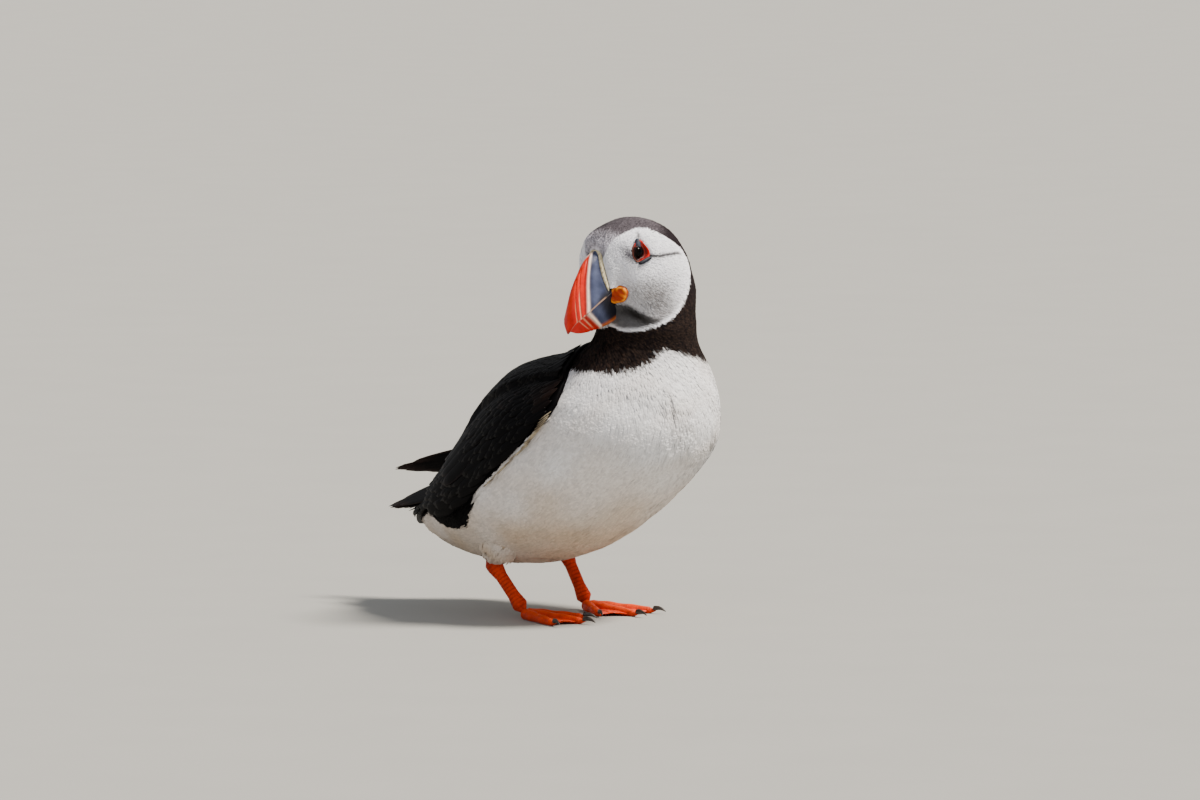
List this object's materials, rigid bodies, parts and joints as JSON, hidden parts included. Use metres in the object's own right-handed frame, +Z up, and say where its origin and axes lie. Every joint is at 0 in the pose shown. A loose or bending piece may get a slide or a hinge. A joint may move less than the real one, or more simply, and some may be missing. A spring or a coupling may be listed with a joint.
{
  "type": "atlantic puffin",
  "caption": "Life-size still model of a standing atlantic puffin, head turned over its right shoulder, with folded wings and webbed feet flat on the floor.",
  "frame": {"origin": "on the floor, under the middle of the bird's bounding box", "axes": "+Z up, the trunk faces -Y, the bird's left side is +X"},
  "size_m": [0.1043, 0.1897, 0.1905],
  "materials": {
    "white_feathers": "dense soft white plumage, matt",
    "black_feathers": "brown-black vaned feathers with a low sheen",
    "bill_horn": "grooved horn plates, waxy gloss",
    "cere_skin": "cream bare skin band, finely pitted",
    "rosette_skin": "wrinkled soft yellow-orange skin",
    "eye_plate": "blue-grey horny plates",
    "eye": "wet dark eye",
    "leg_scales": "orange-red scaled skin",
    "web_skin": "thin orange-red web skin with fine creases",
    "claw_horn": "black curved horn"
  },
  "bodies": {
    "root": {"head": "white_feathers", "neck": "black_feathers", "breast": "white_feathers", "back": "black_feathers", "belly": "white_feathers", "rump": "white_feathers", "tail": "black_feathers", "bill_upper": "bill_horn", "bill_lower": "bill_horn", "cere": "cere_skin", "wing_left": "black_feathers", "primaries_left": "black_feathers", "rosette_left": "rosette_skin", "eye_left": "eye", "eye_plate_upper_left": "eye_plate", "eye_plate_lower_left": "eye_plate", "thigh_left": "white_feathers", "tarsus_left": "leg_scales", "toe_inner_left": "leg_scales", "claw_inner_left": "claw_horn", "web_inner_left": "web_skin", "toe_middle_left": "leg_scales", "claw_middle_left": "claw_horn", "toe_outer_left": "leg_scales", "claw_outer_left": "claw_horn", "web_outer_left": "web_skin", "wing_right": "black_feathers", "primaries_right": "black_feathers", "rosette_right": "rosette_skin", "eye_right": "eye", "eye_plate_upper_right": "eye_plate", "eye_plate_lower_right": "eye_plate", "thigh_right": "white_feathers", "tarsus_right": "leg_scales", "toe_inner_right": "leg_scales", "claw_inner_right": "claw_horn", "web_inner_right": "web_skin", "toe_middle_right": "leg_scales", "claw_middle_right": "claw_horn", "toe_outer_right": "leg_scales", "claw_outer_right": "claw_horn", "web_outer_right": "web_skin"}
  },
  "joints": []
}
